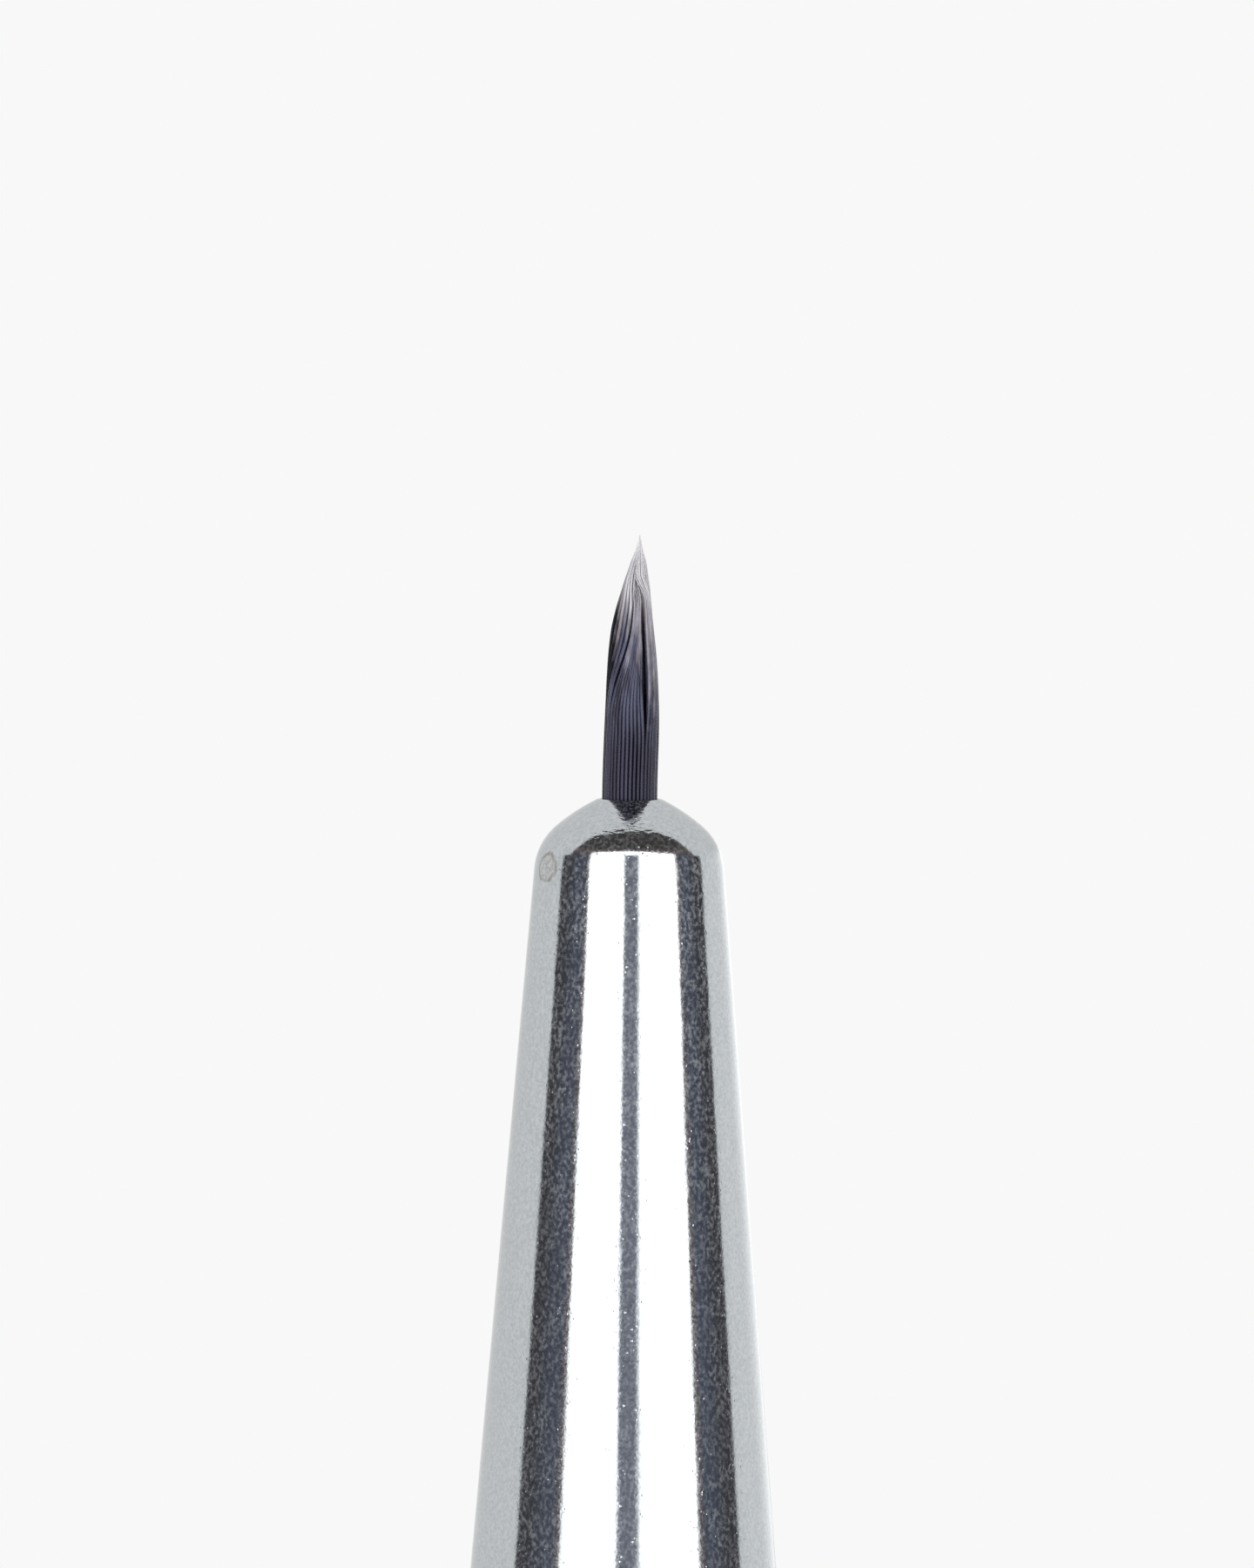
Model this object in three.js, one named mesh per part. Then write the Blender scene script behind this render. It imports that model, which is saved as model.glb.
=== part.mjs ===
// Fine detail brush, standing upright on the tail end of its handle: millimetres, +Z towards the tuft.
// Geometry is written with z = 0 at the ferrule's mouth, and the group lifts it, so that the part's
// origin is the centre of the handle's small flat end face.
import * as THREE from "three";

const TAU = 2 * Math.PI;
const radians = THREE.MathUtils.degToRad;

// ---- driving dimensions ----
const HANDLE_VISIBLE = 126; // from the tail's face to the ferrule's lower edge
const FERRULE_LENGTH = 38;
const TUFT_FREE = 6.34; // tuft beyond the ferrule's mouth
const MOUTH_RADIUS = 0.69;
const SKIRT_RADIUS = 4.25;
const WALL = 0.35; // ferrule sheet
const OUTER_FILAMENTS = 40;
const FILAMENT_RADIUS = 0.045;
const RING_RADIUS = 0.615; // circle of the outer filaments' centres, inside the mouth
const FIT = 0.01; // gap left between two pieces that touch or are glued

// Facets around: ferrule, handle, adhesive and resin are alike, so the gaps between them stay even.
const ROUND = 40;
const SMALL_ROUND = 24;

const FERRULE_BOTTOM = -FERRULE_LENGTH;
const TAIL_Z = FERRULE_BOTTOM - HANDLE_VISIBLE;

// ---- materials ----
const plating = { color: 0xc4cacc, metalness: 1, roughness: 0.08 };
const lacquer = { color: 0x15151a, metalness: 0, roughness: 0.2 };
const resin = { color: 0xb98a45, metalness: 0, roughness: 0.35 };
const adhesive = { color: 0xd9cfae, metalness: 0, roughness: 0.5 };
const thread = { color: 0xe4dfd2, metalness: 0, roughness: 0.8 };
const filament = { color: 0x2a2836, metalness: 0, roughness: 0.35 };

const brush = new THREE.Group();
brush.name = "fine_detail_brush";
brush.position.z = -TAIL_Z;

function add(name, geometry, look) {
  const mesh = new THREE.Mesh(geometry, new THREE.MeshStandardMaterial(look));
  mesh.name = name;
  brush.add(mesh);
}

// A solid of revolution about Z. The profile's points are [radius, z], going up the outside.
function turned(profile, facets) {
  const points = profile.map(([radius, z]) => new THREE.Vector2(radius, z));
  return new THREE.LatheGeometry(points, facets).rotateX(TAU / 4);
}

// The same for a ring: the profile closes on itself, clear of the axis.
const turnedRing = (profile, facets) => turned([...profile, profile[0]], facets);

// Points of a circular arc in the profile plane. Angles are in degrees from the outward direction.
function arc([centreRadius, centreZ], radius, from, to, steps) {
  return Array.from({ length: steps + 1 }, (_, i) => {
    const angle = radians(from + ((to - from) * i) / steps);
    return [centreRadius + radius * Math.cos(angle), centreZ + radius * Math.sin(angle)];
  });
}

// ---- ferrule: mouth, domed nose, long cone, skirt ----
// Directions are the surface normal's, in degrees above the outward direction.
const MOUTH_NORMAL = 65.1; // where crown and bore would meet in a sharp edge
const CROWN_NORMAL = 49.5; // where crown and shoulder meet
const CONE_NORMAL = 4.76;
const CROWN_ARC = 4.63; // gentle crown next to the mouth
const SHOULDER_ARC = 1.51; // tighter turn into the cone
const SKIRT_ARC = 40; // eases the cone into the skirt
const LIP_ARC = 0.06; // rounding of the mouth's edge

// A point at a distance from another, along a normal's direction.
function along([radius, z], normal, distance) {
  return [radius + distance * Math.cos(radians(normal)), z + distance * Math.sin(radians(normal))];
}

// Each stretch meets the next with the same normal, so the centres line up along it.
const crownCentre = along([MOUTH_RADIUS, 0], MOUTH_NORMAL, -CROWN_ARC);
const shoulderCentre = along(crownCentre, CROWN_NORMAL, CROWN_ARC - SHOULDER_ARC);
const coneTop = along(shoulderCentre, CONE_NORMAL, SHOULDER_ARC);

// The lip touches the crown from inside and ends upright at the mouth's radius.
const lipReach = MOUTH_RADIUS + LIP_ARC - crownCentre[0];
const LIP_NORMAL = THREE.MathUtils.radToDeg(Math.acos(lipReach / (CROWN_ARC - LIP_ARC)));
const lipCentre = along(crownCentre, LIP_NORMAL, CROWN_ARC - LIP_ARC);

// The cone's radius and height, for the outside or for a surface inset from it.
const coneSlope = Math.tan(radians(CONE_NORMAL));
function coneRadius(z, inset) {
  return coneTop[0] + (coneTop[1] - z) * coneSlope - inset / Math.cos(radians(CONE_NORMAL));
}
const skirtCornerZ = coneTop[1] - (SKIRT_RADIUS - coneTop[0]) / coneSlope;
const skirtCentre = [
  SKIRT_RADIUS - SKIRT_ARC,
  skirtCornerZ - SKIRT_ARC * Math.tan(radians(CONE_NORMAL / 2)),
];

// Two crimp grooves, pressed through the sheet: inside, adhesive and tenon follow the same wave.
const CRIMP_Z = [-32, -29];
const CRIMP_DEPTH = 0.25;
const CRIMP_WIDTH = 1.2;
const CRIMP_STEPS = 4;

function crimped(radius) {
  const steps = Array.from({ length: CRIMP_STEPS + 1 }, (_, i) => i / CRIMP_STEPS);
  return CRIMP_Z.flatMap((centre) =>
    steps.map((share) => {
      const depth = (CRIMP_DEPTH / 2) * (1 - Math.cos(TAU * share));
      return [radius - depth, centre + CRIMP_WIDTH * (share - 0.5)];
    }),
  );
}

// The skirt's outside from the crimps up to the cone, moved inwards by an inset.
function skirtLine(inset) {
  return [...crimped(SKIRT_RADIUS - inset), ...arc(skirtCentre, SKIRT_ARC - inset, 0, CONE_NORMAL, 2)];
}

// The whole outside from the crimps up to the mouth, moved inwards by an inset.
function ferruleLine(inset) {
  const shoulder = arc(shoulderCentre, SHOULDER_ARC - inset, CONE_NORMAL, CROWN_NORMAL, 6);
  const crown = arc(crownCentre, CROWN_ARC - inset, CROWN_NORMAL, LIP_NORMAL, 3);
  return [...skirtLine(inset), ...shoulder, ...crown.slice(1)];
}

function ferrule() {
  const lip = arc(lipCentre, LIP_ARC, LIP_NORMAL, 180, 3);
  const inside = ferruleLine(WALL).filter(([radius]) => radius > MOUTH_RADIUS + LIP_ARC);
  const boreEnd = [MOUTH_RADIUS, inside.at(-1)[1]];
  const lowerEdge = arc([SKIRT_RADIUS - WALL / 2, FERRULE_BOTTOM + WALL / 2], WALL / 2, -180, 0, 4);
  return turnedRing([...lowerEdge, ...ferruleLine(0), ...lip.slice(1), boreEnd, ...inside.reverse()], ROUND);
}

add("ferrule", ferrule(), plating);

// ---- handle: turned rod with a tenon glued into the skirt ----
const ADHESIVE_THICKNESS = 0.08;
const ADHESIVE_SETBACK = 1; // adhesive stops short of the skirt's edge and of the tenon's chamfer
const TENON_LENGTH = 19;
const TENON_CHAMFER = 0.6;
const TAIL_RADIUS = 1.5; // flat end face
const TAIL_ROUNDING = 0.6;
const BELLY_RADIUS = 4.9;
const BELLY_BELOW_FERRULE = 22;
const NECK_RADIUS = 4.12; // where the rod meets the ferrule
const ROD_STEPS = 16;

const ADHESIVE_INSET = WALL + FIT;
const TENON_INSET = ADHESIVE_INSET + ADHESIVE_THICKNESS + FIT;
const TENON_TOP = FERRULE_BOTTOM + TENON_LENGTH;
const CHAMFER_Z = TENON_TOP - TENON_CHAMFER;
const BELLY_Z = FERRULE_BOTTOM - BELLY_BELOW_FERRULE;
const ROD_BOTTOM = TAIL_Z + TAIL_ROUNDING;
const ROD_TOP = FERRULE_BOTTOM - FIT;

// A quarter sine from the tail up to the belly, then half a cosine wave down to the neck.
function rodRadius(z) {
  if (z < BELLY_Z) {
    const tailRadius = TAIL_RADIUS + TAIL_ROUNDING;
    const share = (z - ROD_BOTTOM) / (BELLY_Z - ROD_BOTTOM);
    return tailRadius + (BELLY_RADIUS - tailRadius) * Math.sin((share * TAU) / 4);
  }
  const share = (z - BELLY_Z) / (ROD_TOP - BELLY_Z);
  return BELLY_RADIUS - ((BELLY_RADIUS - NECK_RADIUS) / 2) * (1 - Math.cos((share * TAU) / 2));
}

function handle() {
  const rod = Array.from({ length: ROD_STEPS }, (_, i) => {
    const z = ROD_BOTTOM + ((ROD_TOP - ROD_BOTTOM) * (i + 1)) / ROD_STEPS;
    return [rodRadius(z), z];
  });
  const chamferRadius = coneRadius(CHAMFER_Z, TENON_INSET);
  const profile = [
    [0, TAIL_Z],
    ...arc([TAIL_RADIUS, ROD_BOTTOM], TAIL_ROUNDING, -90, 0, 3),
    ...rod,
    [SKIRT_RADIUS - TENON_INSET, ROD_TOP],
    ...skirtLine(TENON_INSET),
    [chamferRadius, CHAMFER_Z],
    [chamferRadius - TENON_CHAMFER, TENON_TOP],
    [0, TENON_TOP],
  ];
  return turned(profile, ROUND);
}

// Squeezed thin between tenon and skirt.
function tenonAdhesive() {
  const bottom = FERRULE_BOTTOM + ADHESIVE_SETBACK;
  const top = CHAMFER_Z - ADHESIVE_SETBACK;
  const face = (inset) => [
    [SKIRT_RADIUS - inset, bottom],
    ...skirtLine(inset),
    [coneRadius(top, inset), top],
  ];
  const outer = face(ADHESIVE_INSET);
  const inner = face(ADHESIVE_INSET + ADHESIVE_THICKNESS);
  return turnedRing([...outer, ...inner.reverse()], ROUND);
}

add("handle", handle(), lacquer);
add("tenon_adhesive", tenonAdhesive(), adhesive);

// ---- tuft root: binding thread, fused butt and setting resin ----
const BUTT_TOP = -9;
const BUTT_THICKNESS = 0.6;
const BUTT_RADIUS = 0.72;
const THREAD_Z = -7.2; // centre of the lowest turn
const THREAD_RADIUS = 0.06;
const THREAD_TURNS = 8;
const THREAD_PITCH = 0.135;
const THREAD_STEPS_PER_TURN = 14;
const RESIN_TOP = -1.2;
const RESIN_FLOOR = 0.6; // resin under the butt

const BUNDLE_RADIUS = RING_RADIUS + FILAMENT_RADIUS;
const BUTT_BOTTOM = BUTT_TOP - BUTT_THICKNESS;
const THREAD_COIL = BUNDLE_RADIUS + FIT + THREAD_RADIUS;
const THREAD_HEIGHT = THREAD_TURNS * THREAD_PITCH;

class Helix extends THREE.Curve {
  getPoint(share, target = new THREE.Vector3()) {
    const angle = share * THREAD_TURNS * TAU;
    const z = THREAD_Z + share * THREAD_HEIGHT;
    return target.set(THREAD_COIL * Math.cos(angle), THREAD_COIL * Math.sin(angle), z);
  }
}

function bindingThread() {
  const section = new THREE.Shape().absarc(0, 0, THREAD_RADIUS, 0, TAU);
  return new THREE.ExtrudeGeometry(section, {
    extrudePath: new Helix(),
    steps: THREAD_TURNS * THREAD_STEPS_PER_TURN,
    curveSegments: 5,
    bevelEnabled: false,
  });
}

function fusedButt() {
  const bulge = BUTT_THICKNESS / 2;
  const edge = arc([BUTT_RADIUS - bulge, BUTT_TOP - bulge], bulge, -90, 90, 5);
  return turned([[0, BUTT_BOTTOM], ...edge, [0, BUTT_TOP]], SMALL_ROUND);
}

// A cup cast around root, thread and butt: its outside follows the ferrule's bore.
function settingResin() {
  const inset = WALL + FIT;
  const bottom = BUTT_BOTTOM - RESIN_FLOOR;
  const outside = ferruleLine(inset).filter(([, z]) => z > bottom && z < RESIN_TOP);
  const grip = BUNDLE_RADIUS + FIT;
  const buttPocket = BUTT_RADIUS + FIT;
  const threadPocket = THREAD_COIL + THREAD_RADIUS + FIT;
  const pocketBottom = THREAD_Z - THREAD_RADIUS - FIT;
  const pocketTop = THREAD_Z + THREAD_HEIGHT + THREAD_RADIUS + FIT;
  const profile = [
    [0, bottom],
    [coneRadius(bottom, inset), bottom],
    ...outside,
    [grip, outside.at(-1)[1]],
    [grip, pocketTop],
    [threadPocket, pocketTop],
    [threadPocket, pocketBottom],
    [buttPocket, pocketBottom],
    [buttPocket, BUTT_BOTTOM - FIT],
    [0, BUTT_BOTTOM - FIT],
  ];
  return turned(profile, ROUND);
}

add("setting_resin", settingResin(), resin);
add("binding_thread", bindingThread(), thread);
add("fused_butt", fusedButt(), filament);

// ---- tuft: the inner filaments as a gripped root and a swinging core, the outer ones singly ----
const PIVOT_Z = 0.66;
const CUP_LIP = -45; // direction of the cup's lip, seen from the pivot
const STRAIGHT_FREE = 0.9; // parallel part of the free tuft
const TIP_POWER = 2.6; // fullness of the pointed part's outline
const BODY_LEAN = 0.04; // the tuft's body stands off the axis by this much, its point by both together
const BODY_LEAN_TO = 2.2;
const TIP_LEAN = 0.15;
const TIP_LEAN_FROM = 3.9;
const TIP_LEAN_TO = 6.2;
const CORE_TOP = 6.2; // where the core's side ends and its point begins
const LEVELS = 7; // heights shared by core and filaments, so that their chords never cross
const SHORTEST_OUTER = 5.2; // heights at which the outer filaments end
const LONGEST_OUTER = 6.1;
const GOLDEN_SHARE = 0.618034; // spreads those ends evenly without a visible order
const FILAMENT_SIDES = 6;

const CORE_RADIUS = RING_RADIUS - FILAMENT_RADIUS - FIT;
const ROOT_BOTTOM = BUTT_TOP + FIT;

// Share of the tuft's full width that is left at a height above the mouth.
function fullness(height) {
  const share = Math.max(0, (height - STRAIGHT_FREE) / (TUFT_FREE - STRAIGHT_FREE));
  return 1 - share ** TIP_POWER;
}

const { smoothstep } = THREE.MathUtils;
function lean(height) {
  const body = BODY_LEAN * smoothstep(height, 0, BODY_LEAN_TO);
  return body + TIP_LEAN * smoothstep(height, TIP_LEAN_FROM, TIP_LEAN_TO);
}

const levels = Array.from({ length: LEVELS }, (_, i) => {
  return STRAIGHT_FREE + ((CORE_TOP - STRAIGHT_FREE) * i) / (LEVELS - 1);
});

// The side of a tapering solid from the straight part up to a height.
function taperedSide(radius, top) {
  const heights = [...levels.filter((height) => height < top), top];
  return heights.map((height) => [radius * fullness(height), height]);
}

// Moves each vertex sideways by an amount that depends only on its height.
function shifted(geometry, shift) {
  const position = geometry.attributes.position;
  for (let i = 0; i < position.count; i++) {
    const [x, y] = shift(position.getZ(i));
    position.setX(i, position.getX(i) + x);
    position.setY(i, position.getY(i) + y);
  }
  geometry.computeVertexNormals();
  return geometry;
}

// Ball-ended below, so that it turns about the pivot inside the root's cup.
function tuftCore() {
  const ball = arc([0, PIVOT_Z], CORE_RADIUS, -90, 0, 6);
  const side = taperedSide(CORE_RADIUS, CORE_TOP);
  const core = turned([...ball, ...side, [0, TUFT_FREE]], SMALL_ROUND);
  return shifted(core, (height) => [lean(height), 0]);
}

// Stops below the pivot, with a cup for the core's ball and a flat lip around it.
function tuftRoot() {
  const cup = arc([0, PIVOT_Z], CORE_RADIUS + 2 * FIT, CUP_LIP, -90, 5);
  const side = [
    [CORE_RADIUS, ROOT_BOTTOM],
    [CORE_RADIUS, cup[0][1]],
  ];
  return turned([[0, ROOT_BOTTOM], ...side, ...cup], SMALL_ROUND);
}

// One outer filament, unbroken from the butt to its own end.
function outerFilament(index) {
  const angle = (TAU * index) / OUTER_FILAMENTS;
  const end = SHORTEST_OUTER + (LONGEST_OUTER - SHORTEST_OUTER) * ((index * GOLDEN_SHARE) % 1);
  const gripped = [
    [0, ROOT_BOTTOM],
    [FILAMENT_RADIUS, ROOT_BOTTOM],
    [FILAMENT_RADIUS, 0],
  ];
  const profile = [...gripped, ...taperedSide(FILAMENT_RADIUS, end), [0, end]];
  return shifted(turned(profile, FILAMENT_SIDES), (height) => {
    const ring = RING_RADIUS * fullness(height);
    return [ring * Math.cos(angle) + lean(height), ring * Math.sin(angle)];
  });
}

add("tuft_root", tuftRoot(), filament);
add("tuft_core", tuftCore(), filament);
for (let index = 0; index < OUTER_FILAMENTS; index++) {
  add(`filament_${String(index + 1).padStart(2, "0")}`, outerFilament(index), filament);
}

export default brush;
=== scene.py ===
"""The looks of the fine detail brush: ferrule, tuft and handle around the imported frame, camera and studio."""

import math
import random

import bpy
import numpy as np
from mathutils import Matrix, Vector


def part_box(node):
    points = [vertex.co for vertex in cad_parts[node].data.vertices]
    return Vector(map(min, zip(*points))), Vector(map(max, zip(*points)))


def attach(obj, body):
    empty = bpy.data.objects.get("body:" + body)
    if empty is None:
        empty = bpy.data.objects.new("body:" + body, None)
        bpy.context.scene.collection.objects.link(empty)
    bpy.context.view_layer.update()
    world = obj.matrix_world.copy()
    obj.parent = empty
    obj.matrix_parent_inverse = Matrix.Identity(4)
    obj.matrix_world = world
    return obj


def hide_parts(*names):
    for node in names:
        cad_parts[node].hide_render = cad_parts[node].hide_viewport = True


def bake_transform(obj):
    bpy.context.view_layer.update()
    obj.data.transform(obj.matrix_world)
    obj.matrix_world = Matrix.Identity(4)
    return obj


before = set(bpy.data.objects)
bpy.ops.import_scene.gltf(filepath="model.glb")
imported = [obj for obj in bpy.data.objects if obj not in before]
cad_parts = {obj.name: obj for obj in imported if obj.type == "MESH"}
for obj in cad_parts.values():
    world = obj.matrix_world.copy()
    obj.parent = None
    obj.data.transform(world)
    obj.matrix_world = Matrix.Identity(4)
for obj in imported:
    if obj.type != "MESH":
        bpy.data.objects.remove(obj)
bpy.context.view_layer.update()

MM = 0.001
TAU = 2 * math.pi

# ---- places taken from the frame, in millimetres ----


def box_mm(node):
    low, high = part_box(node)
    return low / MM, high / MM


FERRULE_LOW, FERRULE_HIGH = box_mm("ferrule")
TUFT_TOP = box_mm("tuft_core")[1].z
ROOT_LOW = box_mm("tuft_root")[0].z
HANDLE_TOP = box_mm("handle")[1].z
SKIRT_RADIUS = FERRULE_HIGH.x
FERRULE_BOTTOM = FERRULE_LOW.z
FERRULE_LENGTH = 38.0
MOUTH_Z = FERRULE_BOTTOM + FERRULE_LENGTH
TUFT_FREE = TUFT_TOP - MOUTH_Z


# ---- node helpers ----


class Shader:
    """The node tree of a material or a world, with short ways to add nodes and join them."""

    def __init__(self, name, kind="material"):
        self.owner = bpy.data.materials.new(name) if kind == "material" else bpy.data.worlds.new(name)
        self.owner.use_nodes = True
        self.tree = self.owner.node_tree
        self.tree.nodes.clear()

    def node(self, kind, **settings):
        made = self.tree.nodes.new(kind)
        for key, value in settings.items():
            setattr(made, key, value)
        return made

    def join(self, value, socket):
        """Sets a socket to a number, a colour or another node's output."""
        if isinstance(value, bpy.types.NodeSocket):
            self.tree.links.new(value, socket)
        elif isinstance(value, (tuple, list)) and len(value) == 3 and socket.type == "RGBA":
            socket.default_value = (*value, 1)
        else:
            socket.default_value = value

    def math(self, operation, a, b=0.0, clamp=False):
        made = self.node("ShaderNodeMath", operation=operation, use_clamp=clamp)
        for value, socket in zip((a, b), made.inputs):
            self.join(value, socket)
        return made.outputs[0]

    def add(self, a, b):
        return self.math("ADD", a, b)

    def times(self, a, b):
        return self.math("MULTIPLY", a, b)

    def length(self, a, b):
        """Length of the vector (a, b)."""
        return self.math("SQRT", self.add(self.math("POWER", a, 2.0), self.math("POWER", b, 2.0)))

    def place(self):
        """Where the shaded point is in the object, in metres."""
        return self.node("ShaderNodeTexCoord").outputs["Object"]

    def place_mm(self):
        return self.scaled(self.place(), (1 / MM, 1 / MM, 1 / MM))

    def axes(self, vector):
        split = self.node("ShaderNodeSeparateXYZ")
        self.join(vector, split.inputs[0])
        return split.outputs

    def attribute(self, name, output="Fac"):
        return self.node("ShaderNodeAttribute", attribute_name=name).outputs[output]

    def scaled(self, vector, scale):
        made = self.node("ShaderNodeVectorMath", operation="MULTIPLY")
        self.join(vector, made.inputs[0])
        made.inputs[1].default_value = scale
        return made.outputs[0]

    def noise(self, vector, scale, detail=2.0, roughness=0.5, distortion=0.0):
        """Noise in cells per unit of length; with three scales, one for each axis."""
        if isinstance(scale, tuple):
            vector = self.scaled(vector, scale)
            scale = 1.0
        made = self.node("ShaderNodeTexNoise")
        self.join(vector, made.inputs["Vector"])
        made.inputs["Scale"].default_value = scale
        made.inputs["Detail"].default_value = detail
        made.inputs["Roughness"].default_value = roughness
        made.inputs["Distortion"].default_value = distortion
        return made.outputs["Fac"]

    def between(self, value, low, high, out_low=0.0, out_high=1.0):
        """Smoothly carries value from low..high over to out_low..out_high."""
        made = self.node("ShaderNodeMapRange", interpolation_type="SMOOTHSTEP")
        for part, socket in zip((value, low, high, out_low, out_high), made.inputs):
            self.join(part, socket)
        return made.outputs[0]

    def mix(self, share, first, second):
        made = self.node("ShaderNodeMix", data_type="RGBA")
        self.join(share, made.inputs["Factor"])
        self.join(first, made.inputs[6])
        self.join(second, made.inputs[7])
        return made.outputs[2]

    def bump(self, height, distance, before=None):
        """Tilts the normal by a height, with its depth in millimetres, on top of the bump before."""
        made = self.node("ShaderNodeBump")
        self.join(height, made.inputs["Height"])
        made.inputs["Distance"].default_value = distance * MM
        if before is not None:
            self.join(before, made.inputs["Normal"])
        return made.outputs[0]

    def finish(self, **sockets):
        """Adds the Principled shader with the given sockets and returns the material."""
        principled = self.node("ShaderNodeBsdfPrincipled")
        for name, value in sockets.items():
            self.join(value, principled.inputs[name.replace("_", " ")])
        output = self.node("ShaderNodeOutputMaterial")
        self.join(principled.outputs[0], output.inputs[0])
        return self.owner


# ---- mesh helpers: millimetres in, metres out ----


def mesh_object(name, points, faces, material):
    mesh = bpy.data.meshes.new(name)
    mesh.from_pydata((np.asarray(points, float) * MM).tolist(), [], faces)
    mesh.validate()
    mesh.shade_smooth()
    mesh.materials.append(material)
    made = bpy.data.objects.new(name, mesh)
    bpy.context.scene.collection.objects.link(made)
    return made


def arc(centre, radius, start, stop, steps):
    """Profile points of an arc: (radius, z, normal angle), angles in degrees above the outward direction."""
    angles = np.radians(np.linspace(start, stop, steps + 1))
    return [(centre[0] + radius * math.cos(a), centre[1] + radius * math.sin(a), a) for a in angles]


def line(start, end, steps=1):
    """Profile points of a straight stretch, with its own normal at both ends."""
    normal = math.atan2(start[0] - end[0], end[1] - start[1])
    shares = np.linspace(0, 1, steps + 1)
    return [
        (start[0] + (end[0] - start[0]) * s, start[1] + (end[1] - start[1]) * s, normal) for s in shares
    ]


def lifted(profile, rise):
    return [(radius, z + rise, normal) for radius, z, normal in profile]


def lathe(name, profile, segments, material, closed=False):
    """Turns a profile about Z. Each profile point brings its own normal, so reflections run smoothly."""
    points, normals, faces = [], [], []
    for radius, z, normal in profile:
        for k in range(segments):
            turn = TAU * k / segments
            points.append((radius * math.cos(turn), radius * math.sin(turn), z))
            flat = math.cos(normal)
            normals.append((flat * math.cos(turn), flat * math.sin(turn), math.sin(normal)))
    rings = len(profile)
    for i in range(rings if closed else rings - 1):
        low, high = i * segments, (i + 1) % rings * segments
        for k in range(segments):
            after = (k + 1) % segments
            faces.append((low + k, low + after, high + after, high + k))
    made = mesh_object(name, points, faces, material)
    made.data.normals_split_custom_set_from_vertices(normals)
    return made


# ---- ferrule: the frame's own outline, drawn finely; heights here are from the mouth ----
MOUTH_RADIUS = 0.69
WALL = 0.35
MOUTH_NORMAL = 65.1  # normals in degrees above the outward direction
CROWN_NORMAL = 49.5
CONE_NORMAL = 4.76
CROWN_ARC = 4.63
SHOULDER_ARC = 1.51
SKIRT_ARC = 40.0
LIP_ARC = 0.06
CRIMPS = (-32.0, -29.0)
CRIMP_DEPTH = 0.25
CRIMP_WIDTH = 1.2
CRIMP_STEPS = 24
FERRULE_SEGMENTS = 256


def along(point, normal, distance):
    angle = math.radians(normal)
    return point[0] + distance * math.cos(angle), point[1] + distance * math.sin(angle)


crown_centre = along((MOUTH_RADIUS, 0), MOUTH_NORMAL, -CROWN_ARC)
shoulder_centre = along(crown_centre, CROWN_NORMAL, CROWN_ARC - SHOULDER_ARC)
cone_top = along(shoulder_centre, CONE_NORMAL, SHOULDER_ARC)
lip_normal = math.degrees(math.acos((MOUTH_RADIUS + LIP_ARC - crown_centre[0]) / (CROWN_ARC - LIP_ARC)))
lip_centre = along(crown_centre, lip_normal, CROWN_ARC - LIP_ARC)
skirt_corner = cone_top[1] - (SKIRT_RADIUS - cone_top[0]) / math.tan(math.radians(CONE_NORMAL))
skirt_centre = (
    SKIRT_RADIUS - SKIRT_ARC,
    skirt_corner - SKIRT_ARC * math.tan(math.radians(CONE_NORMAL / 2)),
)


def crimp_line(inset):
    """The skirt from its lower edge up through both crimp grooves, moved inwards by an inset."""
    radius = SKIRT_RADIUS - inset
    stretch = line((radius, -FERRULE_LENGTH + WALL), (radius, CRIMPS[0] - CRIMP_WIDTH / 2), steps=4)
    for centre in CRIMPS:
        for share in np.linspace(0, 1, CRIMP_STEPS + 1):
            depth = CRIMP_DEPTH / 2 * (1 - math.cos(TAU * share))
            slope = CRIMP_DEPTH / 2 * TAU / CRIMP_WIDTH * math.sin(TAU * share)
            stretch.append((radius - depth, centre + CRIMP_WIDTH * (share - 0.5), math.atan(slope)))
    return stretch


def ferrule_line(inset):
    """The whole outside from the lower edge up to the mouth, moved inwards by an inset."""
    return [
        *crimp_line(inset),
        *arc(skirt_centre, SKIRT_ARC - inset, 0, CONE_NORMAL, steps=12),
        *arc(shoulder_centre, SHOULDER_ARC - inset, CONE_NORMAL, CROWN_NORMAL, steps=40),
        *arc(crown_centre, CROWN_ARC - inset, CROWN_NORMAL, lip_normal, steps=24)[1:],
    ]


def make_ferrule(material):
    edge_centre = (SKIRT_RADIUS - WALL / 2, -FERRULE_LENGTH + WALL / 2)
    inside = [p for p in ferrule_line(WALL) if p[0] > MOUTH_RADIUS + LIP_ARC]
    bore_end = (MOUTH_RADIUS, inside[-1][1], math.pi)
    profile = [
        *arc(edge_centre, WALL / 2, -180, 0, steps=16),
        *ferrule_line(0),
        *arc(lip_centre, LIP_ARC, lip_normal, 180, steps=12)[1:],
        bore_end,
        *[(radius, z, normal + math.pi) for radius, z, normal in reversed(inside)],
    ]
    return lathe("ferrule_shell", lifted(profile, MOUTH_Z), FERRULE_SEGMENTS, material, closed=True)


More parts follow.
